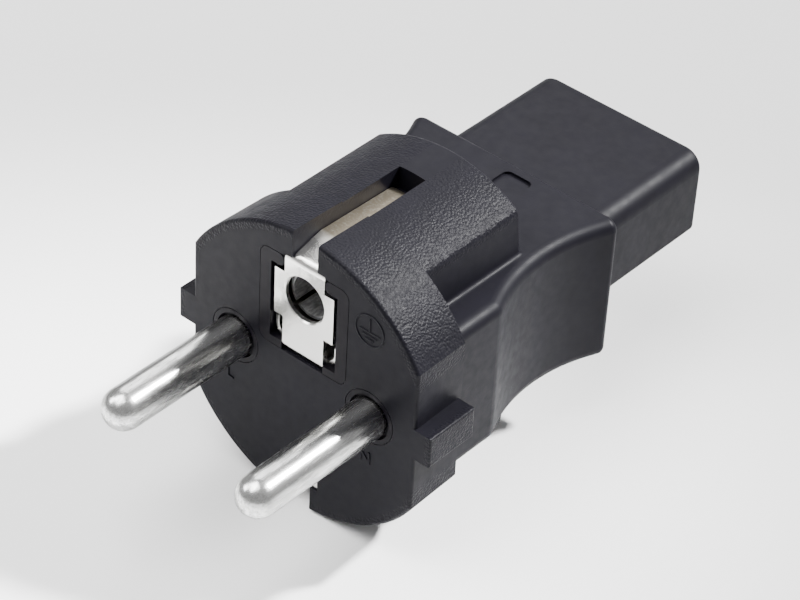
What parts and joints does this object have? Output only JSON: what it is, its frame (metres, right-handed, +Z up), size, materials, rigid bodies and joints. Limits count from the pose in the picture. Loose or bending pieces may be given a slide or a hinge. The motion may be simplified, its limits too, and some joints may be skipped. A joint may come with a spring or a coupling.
{
  "type": "mains plug adapter",
  "caption": "Rigid black adapter: round earthed mains plug at the front, waisted grip, and an appliance connector nose with bevelled corners at the rear.",
  "frame": {"origin": "on the plug's front face, halfway between the two pins", "axes": "+X from the line pin to the neutral pin, +Y to the rear along the adapter, +Z up to the round earth hole"},
  "size_m": [0.0356, 0.0728, 0.0362],
  "materials": {
    "overmould": "fine leather grain",
    "inner_moulding": "smooth satin",
    "nose": "smooth satin",
    "plated_pin": "satin nickel",
    "plated_sheet": "bright nickel",
    "contact_metal": "plain"
  },
  "bodies": {
    "root": {"grip_housing": "overmould", "pin_bridge": "inner_moulding", "line_pin": "plated_pin", "neutral_pin": "plated_pin", "earth_clip": "plated_sheet", "earth_cradle": "plated_sheet", "earth_socket": "contact_metal", "nose_insert": "nose", "contact_retainer": "inner_moulding", "line_contact": "contact_metal", "neutral_contact": "contact_metal", "earth_contact": "contact_metal", "line_bar": "contact_metal", "neutral_bar": "contact_metal", "earth_bar": "contact_metal"}
  },
  "joints": []
}
